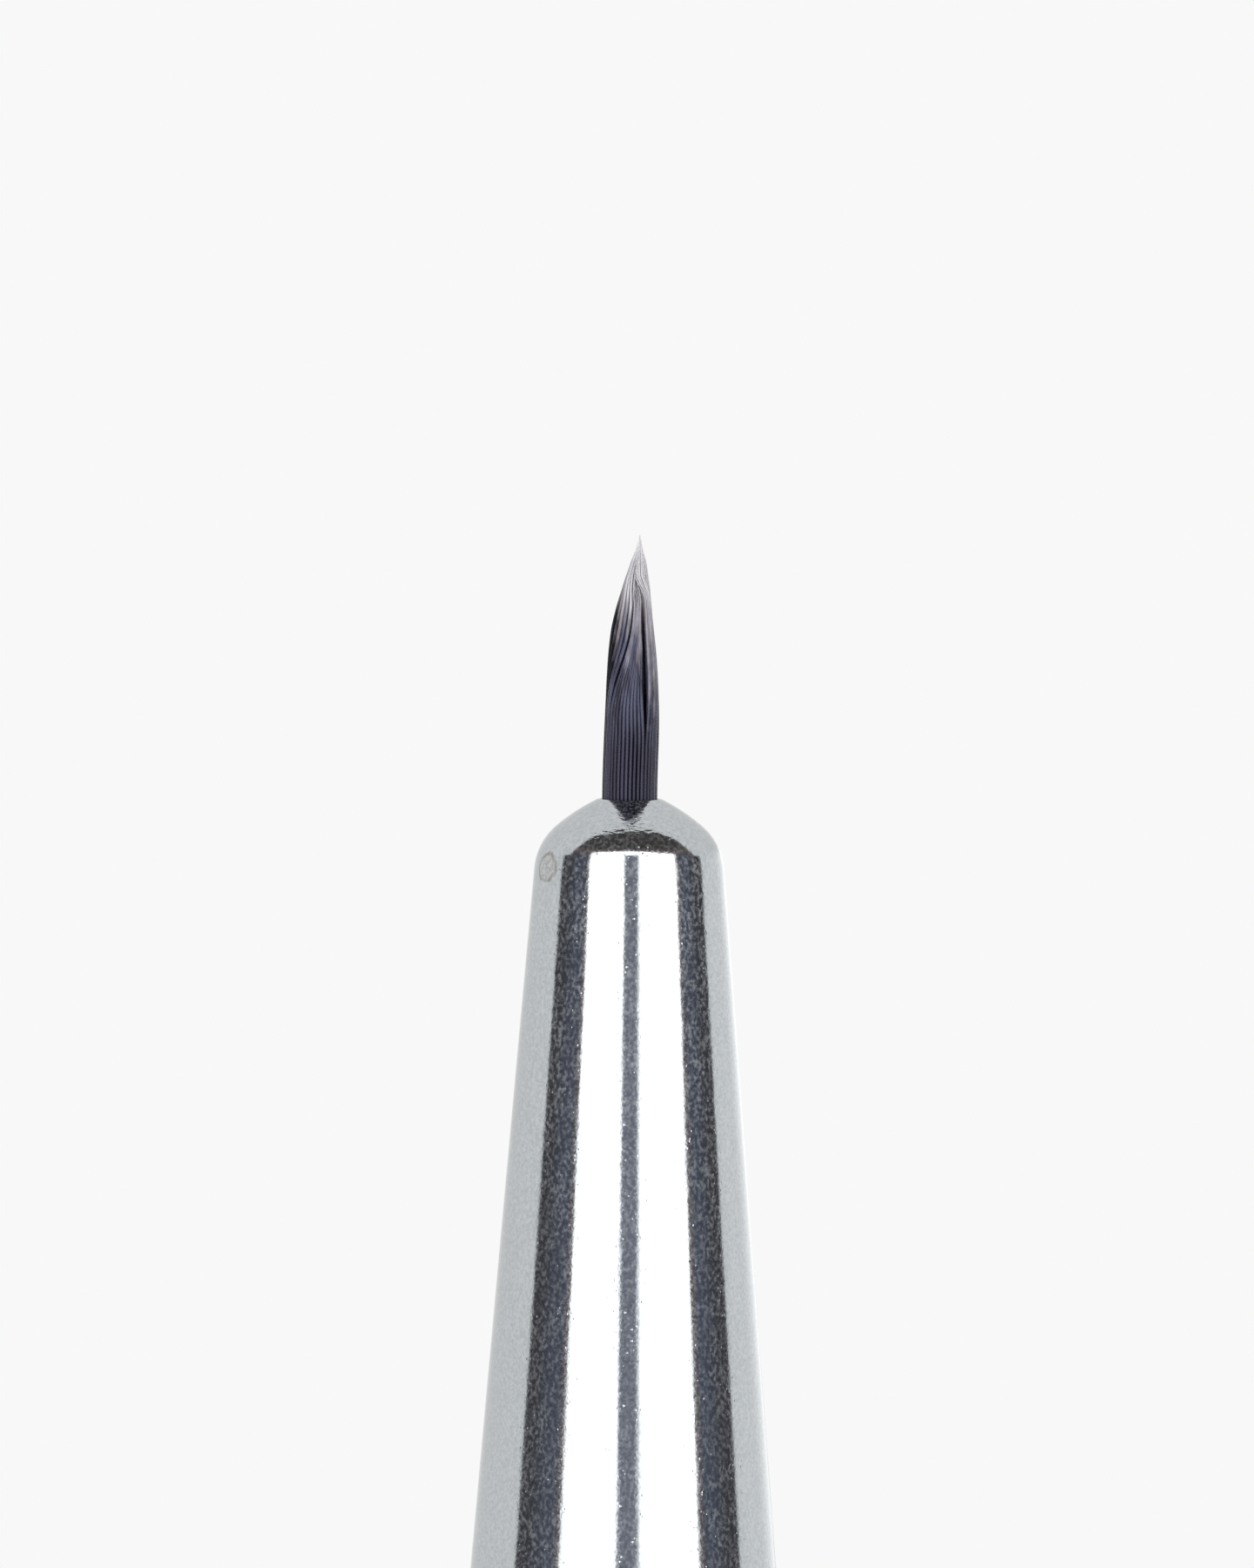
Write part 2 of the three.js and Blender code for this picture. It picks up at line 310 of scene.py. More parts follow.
# ---- mirror plating: noise scales in cells per millimetre, depths and distances in millimetres ----
CHROME = (0.556, 0.582, 0.600)
CHROME_WORN = (0.450, 0.476, 0.488)
CHROME_EDGE = (0.84, 0.84, 0.84)  # tint of the reflection where the metal turns away from the viewer
MARK_TURN = math.radians(-60.5)  # about the axis from the front, negative to the left
MARK_DROP = 1.63  # below the mouth
MARK_HALF_WIDTH = 0.40
MARK_HALF_HEIGHT = 0.33
MARK_FERRULE_RADIUS = 2.28  # the ferrule's own radius at the mark
MARK_OUTLINE_SCALE = 5.0
MARK_UNEVENNESS = 0.5
MARK_RING = (0.29, 0.28, 0.25)
MARK_RING_INNER = (1.0, 1.2)  # where the ring begins and is full, from the mark's middle outwards
MARK_RING_OUTER = (1.42, 1.24)
MARK_RING_SCALE = 4.0
MARK_RING_FAINT = 0.6
MARK_INSIDE = (0.33, 0.31, 0.27)
MARK_INSIDE_REACH = (1.3, 0.9)
MARK_INSIDE_SCALE = 13.0
MARK_INSIDE_SHARE = 0.7
MARK_DULLNESS = 0.10
SLOW_PEEL_SCALE = 2.4
SLOW_PEEL_DEPTH = 0.0014
FINE_PEEL_SCALE = 13.0
FINE_PEEL_DEPTH = 0.0016
FINE_PEEL_CALM = 0.55
DRIFT_SCALE = 1.2
PIP_SCALE = 7.0
PIP_REACH = (0.22, 0.05)  # a pip's foot and its flat top, as shares of a cell
PIP_HEIGHT = 0.0030
PIP_PATCH_SCALE = 3.1
WRINKLE_SCALE = (4.5, 4.5, 14.0)
WRINKLE_DEPTH = 0.014
WRINKLES_START = (0.25, 0.5)  # below the mouth
WRINKLES_STOP = (1.05, 0.65)
WRINKLES_AT_MOUTH = 0.3
POLISHED_ROUGHNESS = 0.045
PIT_SCALE = 15.0
PIT_ROUGHNESS = 0.10
WORN_SCALE = 11.0
DUST_SCALE = (12.0, 12.0, 9.0)
DUST_SHARE = 0.27
DUST_DRIFT_SCALE = 1.7
NOSE_DUST_STOP = (1.2, 1.5)  # below the mouth
NOSE_DUST = 0.5
CONE_DUST_FADE = (4.0, 14.0)
CONE_DUST = 0.7


def specks(s, place):
    """Small raised pips, left standing only in some patches."""
    cells = s.node("ShaderNodeTexVoronoi", feature="SMOOTH_F1")
    s.join(place, cells.inputs["Vector"])
    cells.inputs["Scale"].default_value = PIP_SCALE
    cells.inputs["Smoothness"].default_value = 0.2
    patches = s.between(s.noise(place, PIP_PATCH_SCALE, detail=1.0), 0.52, 0.6)
    return s.times(s.between(cells.outputs["Distance"], *PIP_REACH), patches)


def plating_normal(s, place, drop):
    """Orange peel of the polished sheet, specks, and the crown's wrinkles from drawing the nose in."""
    slow_peel = s.noise(place, SLOW_PEEL_SCALE)
    drift = s.between(s.noise(place, DRIFT_SCALE), 0.35, 0.65, FINE_PEEL_CALM, 1.0)
    fine_peel = s.times(s.noise(place, FINE_PEEL_SCALE, detail=4.0, roughness=0.65), drift)
    on_crown = s.times(
        s.between(drop, *WRINKLES_STOP),
        s.between(drop, *WRINKLES_START, WRINKLES_AT_MOUTH, 1.0),
    )
    normal = s.bump(slow_peel, SLOW_PEEL_DEPTH)
    normal = s.bump(fine_peel, FINE_PEEL_DEPTH, normal)
    normal = s.bump(specks(s, place), PIP_HEIGHT, normal)
    return s.bump(s.times(s.noise(place, WRINKLE_SCALE), on_crown), WRINKLE_DEPTH, normal)


def mark_reach(s, place, drop):
    """Distance from the middle of the dried water mark: about 1 to 1.4 on its uneven oval ring."""
    x, y, _ = s.axes(place)
    turn = s.math("ARCTAN2", x, s.times(y, -1.0))
    across = s.times(s.math("SUBTRACT", turn, MARK_TURN), MARK_FERRULE_RADIUS / MARK_HALF_WIDTH)
    up = s.math("DIVIDE", s.math("SUBTRACT", drop, MARK_DROP), MARK_HALF_HEIGHT)
    uneven = s.noise(place, MARK_OUTLINE_SCALE, detail=3.0, roughness=0.6)
    return s.add(s.length(across, up), s.times(uneven, MARK_UNEVENNESS))


def plating_tint(s, place, reach, inside):
    """Worn and bright plating in small patches, with the water mark's ring and inside over it."""
    worn = s.noise(place, WORN_SCALE, detail=3.0, roughness=0.65)
    tint = s.mix(s.between(worn, 0.33, 0.67), CHROME_WORN, CHROME)
    blotches = s.between(s.noise(place, MARK_INSIDE_SCALE, roughness=0.6), 0.42, 0.65)
    tint = s.mix(s.times(inside, s.times(blotches, MARK_INSIDE_SHARE)), tint, MARK_INSIDE)
    ring = s.times(s.between(reach, *MARK_RING_INNER), s.between(reach, *MARK_RING_OUTER))
    ring = s.times(ring, s.between(s.noise(place, MARK_RING_SCALE), 0.42, 0.6, MARK_RING_FAINT, 1.0))
    return s.mix(ring, tint, MARK_RING)


def plating_dust(s, place, drop):
    """Fine dust in drifts, which scatters light; there is less of it on the nose and down the cone."""
    dust = s.between(s.noise(place, DUST_SCALE), 0.38, 0.76)
    dust = s.times(dust, s.between(s.noise(place, DUST_DRIFT_SCALE), 0.3, 0.7, 0.6, 1.3))
    dust = s.times(dust, s.between(drop, *NOSE_DUST_STOP, NOSE_DUST, 1.0))
    return s.times(dust, s.between(drop, *CONE_DUST_FADE, 1.0, CONE_DUST))


def chrome_material():
    s = Shader("mirror_plating")
    place = s.place_mm()
    drop = s.math("SUBTRACT", MOUTH_Z, s.axes(place)[2])
    reach = mark_reach(s, place, drop)
    inside = s.between(reach, *MARK_INSIDE_REACH)
    pits = s.between(s.noise(place, PIT_SCALE, roughness=0.6), 0.42, 0.68)
    rough = s.add(s.times(pits, PIT_ROUGHNESS), POLISHED_ROUGHNESS)
    return s.finish(
        Base_Color=plating_tint(s, place, reach, inside),
        Metallic=s.math("SUBTRACT", 1.0, s.times(plating_dust(s, place, drop), DUST_SHARE)),
        Roughness=s.add(rough, s.times(inside, MARK_DULLNESS)),
        Normal=plating_normal(s, place, drop),
        Specular_Tint=CHROME_EDGE,
    )


# ---- tuft: single filaments gathered into locks; heights here are above the mouth ----
HAIR_RADIUS = 0.045
HAIR_SIDES = 8
HAIR_STEPS = 44
# Radius of each ring of filaments and their number, from the outside in.
RINGS = ((0.615, 40), (0.52, 34), (0.425, 27), (0.33, 21), (0.235, 15), (0.14, 9), (0.046, 3))
RING_STRAY = 3.0  # degrees that an inner filament may stand out of its even place
STRAIGHT_FREE = 0.9  # the tuft keeps its full thickness up to here
TIP_POWER = 2.6
BODY_LEAN = 0.04
BODY_LEAN_TO = 2.2
TIP_LEAN = 0.15
TIP_LEAN_FROM = 3.9
TIP_LEAN_TO = 6.2
# Each seam between two locks: its direction at the root in degrees, -90 being the front, how far it turns
# between two heights, and the gap that opens on each side of it.
SEAMS = (
    (-150, ((56, 1.9, 4.3), (-22, 4.5, 5.5)), 3.0),
    (-55, ((-56, 4.75, 5.4),), 8.5),
    (58, (), 4.0),
    (132, (), 4.0),
)
LOCKS = ("front", "right", "back", "left")  # each from its seam to the next
INSIDE_MOUTH = (-0.6, -0.2)
# Changes along a filament, each with the two heights between which it comes about.
GAP_OPENS = (1.2, 2.8)
GAP_SHUTS = (4.5, 5.6)
GAP_SHUT_SHARE = 0.8
STRAY = 0.02
STRAY_GROWS = (1.0, 4.0)
PINCH = 0.45  # how far the point is drawn in
PINCH_GROWS = (5.6, 6.3)
FILLING = 0.65  # how much a lock's filaments swell as it widens, so that no gap shows between them
TIP_FILLING = 0.5
TIP_FILLING_GROWS = (4.6, 5.4)
POINT_LENGTH = 1.6
POINT_TAPER = 0.85
THINNEST = 0.05
SHORT_ENDS = (4.5, 5.1)  # where the front lock's filaments end, lowest and highest
LONG_ENDS = (5.4, 6.3)
GOLDEN = 0.618034  # spreads the ends evenly, whatever the number of filaments
RING_SHIFT = 0.37


def ease(value, low, high):
    """Smooth step from 0 at low to 1 at high; low may be the larger of the two."""
    share = min(1.0, max(0.0, (value - low) / (high - low)))
    return share * share * (3 - 2 * share)


def fullness(height):
    share = max(0.0, (height - STRAIGHT_FREE) / (TUFT_FREE - STRAIGHT_FREE))
    return max(0.0, 1 - share**TIP_POWER)


def lean_at(height):
    """How far the tuft's middle stands off the axis, to +X."""
    return BODY_LEAN * ease(height, 0, BODY_LEAN_TO) + TIP_LEAN * ease(height, TIP_LEAN_FROM, TIP_LEAN_TO)


def seam_direction(start, turns, height):
    return start + sum(by * ease(height, low, high) for by, low, high in turns)


def lock_edges(height):
    """Directions of the seams at a height, the first one again at the end, a full turn on."""
    edges = [seam_direction(start, turns, height) for start, turns, _ in SEAMS]
    return [*edges, edges[0] + 360]


def lock_of(direction):
    """Which lock a filament belongs to by its direction at the root, and how far across it."""
    edges = lock_edges(0)
    turn = (direction - edges[0]) % 360 + edges[0]
    for index, name in enumerate(LOCKS):
        if turn < edges[index + 1]:
            return index, name, (turn - edges[index]) / (edges[index + 1] - edges[index])
    raise ValueError(direction)


def lock_span(index, height):
    """Directions between which a lock's filaments stand at a height."""
    edges = lock_edges(height)
    opening = ease(height, *GAP_OPENS) * (1 - GAP_SHUT_SHARE * ease(height, *GAP_SHUTS))
    gaps = [gap * opening for _, _, gap in (*SEAMS, SEAMS[0])]
    return edges[index] + gaps[index], edges[index + 1] - gaps[index + 1]


def hair_path(ring, direction, end, dice):
    """Points (x, y, height) of one filament with its radius share at each."""
    index, _, across = lock_of(direction)
    stray = dice.uniform(-1, 1)
    at_root = lock_edges(0)
    home = at_root[index + 1] - at_root[index]
    root = ROOT_LOW - MOUTH_Z
    path = []
    for height in [root, root / 2, *INSIDE_MOUTH, *np.linspace(0, end, HAIR_STEPS)]:
        low, high = lock_span(index, height)
        turn = math.radians(low + across * (high - low))
        reach = ring * fullness(height) * (1 + STRAY * stray * ease(height, *STRAY_GROWS))
        reach *= 1 - PINCH * ease(height, *PINCH_GROWS)
        lean = lean_at(height)
        widened = max(0.0, (high - low) / home - 1)
        thicker = 1 + (FILLING + TIP_FILLING * ease(height, *TIP_FILLING_GROWS)) * widened
        taper = fullness(height) * thicker * (1 - POINT_TAPER * ease(height, end - POINT_LENGTH, end))
        path.append((reach * math.cos(turn) + lean, reach * math.sin(turn), height, taper))
    return path


# Heights between which the dye fades out in each lock, before the rises below.
DYE_SPANS = {"front": (2.9, 4.9), "right": (1.9, 5.2), "back": (2.6, 5.6), "left": (3.3, 4.3)}
FRONT_DYE_RISE = 0.7  # of the lower end, from the front lock's first filament to its last
LEFT_PAINTED_SHADE_RISE = 1.5  # of both ends, in the back part of the left lock: higher dye there is painted shade on the tuft's left side
LEFT_PAINTED_SHADE_RISES = (0.70, 0.54)
LEFT_SEAM_PAINTED_SHADE_SPAN = (4.0, 4.7)  # in the left lock next to the front one: a dark band of dye that is painted shade along the seam
LEFT_SEAM_FROM = 0.8
INNER_DYE_AND_SHADE_SPAN = (4.0, 4.9)  # inner filaments, apart from the left lock's; dyed higher, which keeps the grooves between the locks dark as painted shade


def dye_span(name, across, level, dice):
    """Heights above the mouth between which a filament's dark dye fades out; the raised spans in the left lock
    and of the inner filaments are painted shade.
    """
    low, high = DYE_SPANS[name]
    if name == "front":
        low += FRONT_DYE_RISE * across
    if name == "left":
        rise = LEFT_PAINTED_SHADE_RISE * ease(across, *LEFT_PAINTED_SHADE_RISES)
        low, high = LEFT_SEAM_PAINTED_SHADE_SPAN if across > LEFT_SEAM_FROM else (low + rise, high + rise)
    elif level > 0:
        low, high = INNER_DYE_AND_SHADE_SPAN
    return low + dice.uniform(-0.5, 0.4), high + dice.uniform(-0.3, 0.3)


def tube(path, sides):
    """Points and faces of a closed tapering tube along a path; sections stay level."""
    points, faces = [], []
    for x, y, height, share in path:
        for k in range(sides):
            turn = TAU * k / sides
            radius = HAIR_RADIUS * max(share, THINNEST)
            points.append((x + radius * math.cos(turn), y + radius * math.sin(turn), height + MOUTH_Z))
    for i in range(len(path) - 1):
        for k in range(sides):
            after = (k + 1) % sides
            faces.append((i * sides + k, i * sides + after, (i + 1) * sides + after, (i + 1) * sides + k))
    top = (len(path) - 1) * sides
    faces.append(tuple(range(sides - 1, -1, -1)))
    faces.append(tuple(range(top, top + sides)))
    return points, faces


FULLEST_DYE = 1.35  # dye beyond 1 outweighs the patchiness, low on a filament


def make_hairs(name, hairs, material):
    """One piece from a list of (path, dye span, tone)."""
    points, faces, dye, tone = [], [], [], []
    for path, (dyed_to, bare_from), shade in hairs:
        own_points, own_faces = tube(path, HAIR_SIDES)
        faces += [tuple(i + len(points) for i in face) for face in own_faces]
        points += own_points
        fade = [(bare_from - z + MOUTH_Z) / (bare_from - dyed_to) for _, _, z in own_points]
        dye += [min(FULLEST_DYE, max(0.0, share)) for share in fade]
        tone += [shade] * len(own_points)
    made = mesh_object(name, points, faces, material)
    # the dye and tone attributes also carry painted shade: raised dye spans and black tones
    for label, values in (("dye", dye), ("tone", tone)):
        made.data.attributes.new(label, "FLOAT", "POINT").data.foreach_set("value", values)
    return made


# the darkest dye; filaments of tone 0 take it as painted shade
BLACKEST = (0.005, 0.004, 0.008)
DYED = (0.030, 0.026, 0.048)
# colour of the painted sheen: highlight patches mixed into the dyed colour
DYED_PAINTED_SHEEN = (0.062, 0.066, 0.105)
BARE_DULL = (0.32, 0.29, 0.32)
BARE_BRIGHT = (0.46, 0.44, 0.47)
# painted light: bare filaments paler towards the point, where light shines through the thin tips
BARE_POINT_PAINTED_LIGHT = (0.63, 0.615, 0.64)
BLOTCH_SCALE = (7.0, 7.0, 1.8)
BLOTCHES_CALM = (3.8, 5.2)  # heights above the mouth
PAINTED_SHEEN_SCALE = (5.0, 5.0, 0.9)
PAINTED_SHEEN_STARTS = (1.0, 2.4)
POINT_PAINTED_LIGHT_RISES = (4.2, 5.5)
BLACK_TONES = (0.0, 0.1)  # filaments below the second tone lose their painted sheen and gloss
BLACK_GLOSS = 0.15
FILAMENT_IOR = 1.3
FILAMENT_GLEAM = (0.80, 0.83, 1.0)
STREAK_SCALE = (60.0, 60.0, 3.0)
STREAK_DEPTH = 0.0006


def filament_colour(s, place, tone):
    """Dark dye that fades out in patches towards the point, which is paler still from painted light through the
    thin tips, with a blue painted sheen over the dyed part.
    """
    height = s.math("SUBTRACT", s.axes(place)[2], MOUTH_Z)
    blotch = s.noise(place, BLOTCH_SCALE, detail=3.0, roughness=0.6)
    patchy = s.times(s.math("SUBTRACT", blotch, 0.47), s.between(height, *BLOTCHES_CALM, 1.2, 0.2))
    dyed = s.math("ADD", s.attribute("dye"), patchy, clamp=True)
    # painted sheen: highlight patches painted into the colour of the dyed part
    painted_sheen = s.between(s.noise(place, PAINTED_SHEEN_SCALE, roughness=0.6), 0.42, 0.60)
    painted_sheen = s.times(painted_sheen, s.between(height, *PAINTED_SHEEN_STARTS, 0.08, 0.8))
    painted_sheen = s.times(painted_sheen, s.between(tone, *BLACK_TONES))
    dark = s.mix(painted_sheen, s.mix(tone, BLACKEST, DYED), DYED_PAINTED_SHEEN)
    # paler towards the point: painted light shining through the thin tips
    pale = s.mix(s.between(height, *POINT_PAINTED_LIGHT_RISES), s.mix(tone, BARE_DULL, BARE_BRIGHT), BARE_POINT_PAINTED_LIGHT)
    return s.mix(dyed, pale, dark)


def filament_material():
    s = Shader("dyed_filament")
    place = s.place_mm()
    tone = s.attribute("tone")
    return s.finish(
        Base_Color=filament_colour(s, place, tone),
        Roughness=s.between(s.noise(place, 9.0), 0.3, 0.7, 0.18, 0.32),
        Normal=s.bump(s.noise(place, STREAK_SCALE), STREAK_DEPTH),
        IOR=FILAMENT_IOR,
        Specular_IOR_Level=s.between(tone, *BLACK_TONES, BLACK_GLOSS, 1.0),
        Specular_Tint=FILAMENT_GLEAM,
    )


OUTER_TONES = (0.1, 1.0)
# inner filaments stay near black: painted shade in the grooves between the locks
INNER_PAINTED_SHADE_TONES = (0.04, 0.1)
PAINTED_SHADE_OUTLINE_FROM = 0.97  # painted shade blackens filaments beyond this, of the way out to either side
PAINTED_SHADE_LEFT_TO = 0.66  # painted shade blackens the left lock this far across, from the back


def hair_tone_with_painted_shade(direction, level, dice):
    """How light a filament is, from 0 to 1, at random: black as painted shade at both outlines and in the back
    of the left lock.
    """
    tone = dice.uniform(*(OUTER_TONES if level == 0 else INNER_PAINTED_SHADE_TONES))
    _, name, across = lock_of(direction)
    at_outline = abs(math.cos(math.radians(direction))) > PAINTED_SHADE_OUTLINE_FROM
    return 0.0 if at_outline or (name == "left" and across < PAINTED_SHADE_LEFT_TO) else tone


def grow_ring(level, dice):
    """Every (path, dye span, tone) of one ring; level 0 is the outermost."""
    ring, count = RINGS[level]
    hairs = []
    for k in range(count):
        direction = 360 * k / count + (0 if level == 0 else dice.uniform(-RING_STRAY, RING_STRAY))
        _, name, across = lock_of(direction)
        low, top = SHORT_ENDS if name == "front" else LONG_ENDS
        end = low + (top - low) * ((k * GOLDEN + level * RING_SHIFT) % 1)
        path = hair_path(ring, direction, end, dice)
        tone = hair_tone_with_painted_shade(direction, level, dice)
        hairs.append((path, dye_span(name, across, level, dice), tone))
    return hairs


def make_tuft(material):
    dice = random.Random(7)
    outer, *inner = [grow_ring(level, dice) for level in range(len(RINGS))]
    core = make_hairs("tuft_inner_filaments", [hair for ring in inner for hair in ring], material)
    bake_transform(core)
    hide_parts("tuft_root", "tuft_core")
    for k, hair in enumerate(outer):
        single = make_hairs(f"outer_filament_{k + 1:02d}", [hair], material)
        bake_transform(single)
        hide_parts(f"filament_{k + 1:02d}")


# ---- handle; heights here are from the tail ----
TAIL_RADIUS = 1.5
TAIL_ROUNDING = 0.6
BELLY_RADIUS = 4.9
BELLY_BELOW_FERRULE = 22.0
NECK_RADIUS = 4.12
FIT = 0.01
TENON_INSET = WALL + 0.1
TENON_CHAMFER = 0.6
ROD_TOP = FERRULE_BOTTOM - FIT
ROD_STEPS = 120
SLOPE_STEP = 0.01
HANDLE_SEGMENTS = 128


def rod_radius(z):
    belly_z = FERRULE_BOTTOM - BELLY_BELOW_FERRULE
    if z < belly_z:
        full = TAIL_RADIUS + TAIL_ROUNDING
        share = (z - TAIL_ROUNDING) / (belly_z - TAIL_ROUNDING)
        return full + (BELLY_RADIUS - full) * math.sin(share * TAU / 4)
    share = (z - belly_z) / (ROD_TOP - belly_z)
    return BELLY_RADIUS - (BELLY_RADIUS - NECK_RADIUS) / 2 * (1 - math.cos(share * TAU / 2))


def rod_line():
    """The rod from the tail's rounding up to the ferrule."""
    rod = []
    for z in np.linspace(TAIL_ROUNDING, ROD_TOP, ROD_STEPS + 1):
        above = rod_radius(min(z + SLOPE_STEP, ROD_TOP))
        below = rod_radius(max(z - SLOPE_STEP, TAIL_ROUNDING))
        rod.append((rod_radius(z), z, math.atan((below - above) / (2 * SLOPE_STEP))))
    return rod


def tenon_line():
    """The tenon inside the ferrule, from its foot through both crimps to the chamfered top."""
    foot_radius = SKIRT_RADIUS - TENON_INSET
    skirt = arc(skirt_centre, SKIRT_ARC - TENON_INSET, 0, CONE_NORMAL, steps=8)
    slope = math.tan(math.radians(CONE_NORMAL))
    chamfer_z = HANDLE_TOP - TENON_CHAMFER
    chamfer_radius = cone_top[0] + (cone_top[1] + MOUTH_Z - chamfer_z) * slope - TENON_INSET
    end_radius = chamfer_radius - TENON_CHAMFER
    return [
        (foot_radius, ROD_TOP, TAU / 4),
        *line((foot_radius, ROD_TOP), (foot_radius, FERRULE_BOTTOM + WALL)),
        *lifted(crimp_line(TENON_INSET)[1:], MOUTH_Z),
        *lifted(skirt, MOUTH_Z),
        (chamfer_radius, chamfer_z, math.radians(CONE_NORMAL)),
        *line((chamfer_radius, chamfer_z), (end_radius, HANDLE_TOP)),
        (end_radius, HANDLE_TOP, TAU / 4),
        (0.0, HANDLE_TOP, TAU / 4),
    ]


def make_handle(material):
    rod = rod_line()
    profile = [
        (0.0, 0.0, -TAU / 4),
        *arc((TAIL_RADIUS, TAIL_ROUNDING), TAIL_ROUNDING, -90, 0, steps=10),
        *rod[1:],
        (rod[-1][0], ROD_TOP, TAU / 4),
        *tenon_line(),
    ]
    return lathe("turned_handle", profile, HANDLE_SEGMENTS, material)


WOOD_DARK = (0.42, 0.27, 0.14)
WOOD_LIGHT = (0.62, 0.45, 0.27)
WOOD_PORE = (0.28, 0.16, 0.08)
LACQUER_DARK = (0.006, 0.006, 0.008)
LACQUER_LIGHT = (0.016, 0.014, 0.015)
LACQUER_EDGE = 0.02  # the lacquer ends at the ferrule within this much either way
LACQUER_ROUGHNESS = (0.10, 0.22)
LACQUER_PEEL_SCALE = 1.3
LACQUER_PEEL_DEPTH = 0.004
SMEAR_SCALE = (0.5, 0.5, 0.12)
FIBRE_SCALE = (1.6, 1.6, 0.06)
FIBRE_DEPTH = 0.01
PORE_SCALE = (7.0, 7.0, 0.35)
BARE_ROUGHNESS = 0.5


def handle_material():
    s = Shader("lacquered_wood")
    place = s.place_mm()
    bare = s.between(s.axes(place)[2], FERRULE_BOTTOM - LACQUER_EDGE, FERRULE_BOTTOM + LACQUER_EDGE)
    fibres = s.noise(place, FIBRE_SCALE, detail=5.0, roughness=0.65, distortion=0.4)
    pores = s.noise(place, PORE_SCALE, detail=3.0, roughness=0.7)
    wood = s.mix(s.between(fibres, 0.3, 0.7), WOOD_DARK, WOOD_LIGHT)
    wood = s.mix(s.between(pores, 0.55, 0.75), wood, WOOD_PORE)
    coat = s.mix(s.between(fibres, 0.35, 0.7), LACQUER_DARK, LACQUER_LIGHT)
    smear = s.noise(place, SMEAR_SCALE, detail=3.0, roughness=0.6)
    rough = s.between(smear, 0.3, 0.75, *LACQUER_ROUGHNESS)
    peel = s.bump(s.noise(place, LACQUER_PEEL_SCALE), LACQUER_PEEL_DEPTH)
    return s.finish(
        Base_Color=s.mix(bare, coat, wood),
        Roughness=s.add(rough, s.times(bare, BARE_ROUGHNESS)),
        Normal=s.bump(fibres, FIBRE_DEPTH, peel),
    )


# ---- inner pieces that stay as the frame has them ----


def resin_material():
    s = Shader("setting_resin")
    place = s.place_mm()
    cloud = s.noise(place, 0.9, detail=3.0, roughness=0.55)
    bubbles = s.between(s.noise(place, 6.0, detail=1.0), 0.68, 0.74)
    return s.finish(
        Base_Color=s.mix(s.between(cloud, 0.3, 0.7), (0.40, 0.20, 0.06), (0.62, 0.38, 0.14)),
        Roughness=s.between(cloud, 0.3, 0.7, 0.18, 0.32),
        Normal=s.bump(s.math("SUBTRACT", cloud, bubbles), 0.01),
    )


def adhesive_material():
    s = Shader("tenon_adhesive")
    smear = s.noise(s.place_mm(), (0.8, 0.8, 0.3), detail=3.0, roughness=0.6)
    return s.finish(
        Base_Color=s.mix(s.between(smear, 0.3, 0.7), (0.58, 0.50, 0.32), (0.76, 0.70, 0.52)),
        Roughness=s.between(smear, 0.3, 0.7, 0.35, 0.55),
        Normal=s.bump(smear, 0.02),
    )


def thread_material():
    s = Shader("binding_thread")
    fuzz = s.noise(s.place_mm(), 40.0, detail=3.0, roughness=0.7)
    return s.finish(
        Base_Color=s.mix(s.between(fuzz, 0.3, 0.7), (0.62, 0.58, 0.50), (0.84, 0.81, 0.74)),
        Roughness=0.8,
        Normal=s.bump(fuzz, 0.004),
    )


def fused_material():
    s = Shader("fused_filament")
    melt = s.noise(s.place_mm(), 5.0, detail=3.0, roughness=0.6)
    return s.finish(
        Base_Color=s.mix(s.between(melt, 0.3, 0.7), (0.012, 0.010, 0.016), (0.045, 0.036, 0.050)),
        Roughness=s.between(melt, 0.3, 0.7, 0.2, 0.5),
        Normal=s.bump(melt, 0.01),
    )


def dress(node, material):
    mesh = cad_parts[node].data
    mesh.materials.clear()
    mesh.materials.append(material)


# ---- studio ----
SURROUND = (0.939, 0.939, 0.939)
CAMERA_ELEVATION = 2.5
TOWARDS_CAMERA = Vector(
    (0, -math.cos(math.radians(CAMERA_ELEVATION)), math.sin(math.radians(CAMERA_ELEVATION)))
)
STUDIO_CENTRE = Vector((0, 0, MOUTH_Z * MM))
# The studio is laid out in degrees of the ferrule normal that mirrors each part towards the camera.
BOX_DISTANCE = 1.0
PANEL_LOW = -20.0
PANEL_TOP = 24.8
PANEL_ARCH = 3.0  # the top edge is lower by this much at 30 degrees to either side
PANEL_STRENGTH = 2.6
PANEL_FIRST_EDGE = (0.4, 0.4, 0.4)
PANEL_STEPS = 14
BRIDGE_LOW = 21.2  # the light goes on above the gap
ROOM_RADIUS = 1.6
ROOM_MIDDLE = 2.4
ROOM_HALF_WIDTH = 47.4
ROOM_TOP = 47.5
ROOM_SHOULDER = 20.0
ROOM_ARCH_POWER = 1.95
ROOM_DARK = np.array((0.070, 0.066, 0.074))
ROOM_LEFT = np.array((0.100, 0.110, 0.150))
ROOM_GAP = np.array((0.235, 0.25, 0.31))
ROOM_RIGHT = np.array((0.100, 0.115, 0.160))
ROOM_ROOF = np.array((0.072, 0.065, 0.061))
ROOM_WARM = np.array((0.17, 0.13, 0.13))
ROOM_LEFT_BORDER = -14.0  # both borders are behind the panels
ROOM_RIGHT_BORDER = 18.0
LEFT_DARKENS = (-42.0, -30.0)
RIGHT_DARKENS = (34.0, 46.0)
LEFT_RIM = (-27.5, -26.0)  # a warm rim next to each panel's outer edge and over their tops
RIGHT_RIM = (33.0, 31.5)
TOP_RIM = (29.0, 24.0)
ROOF_FROM = (20.0, 24.0)
ROOM_COLUMNS = 97
ROOM_ROWS = 191
GLOW_RADIUS = ROOM_RADIUS + 0.1
GLOW_START = 46.0
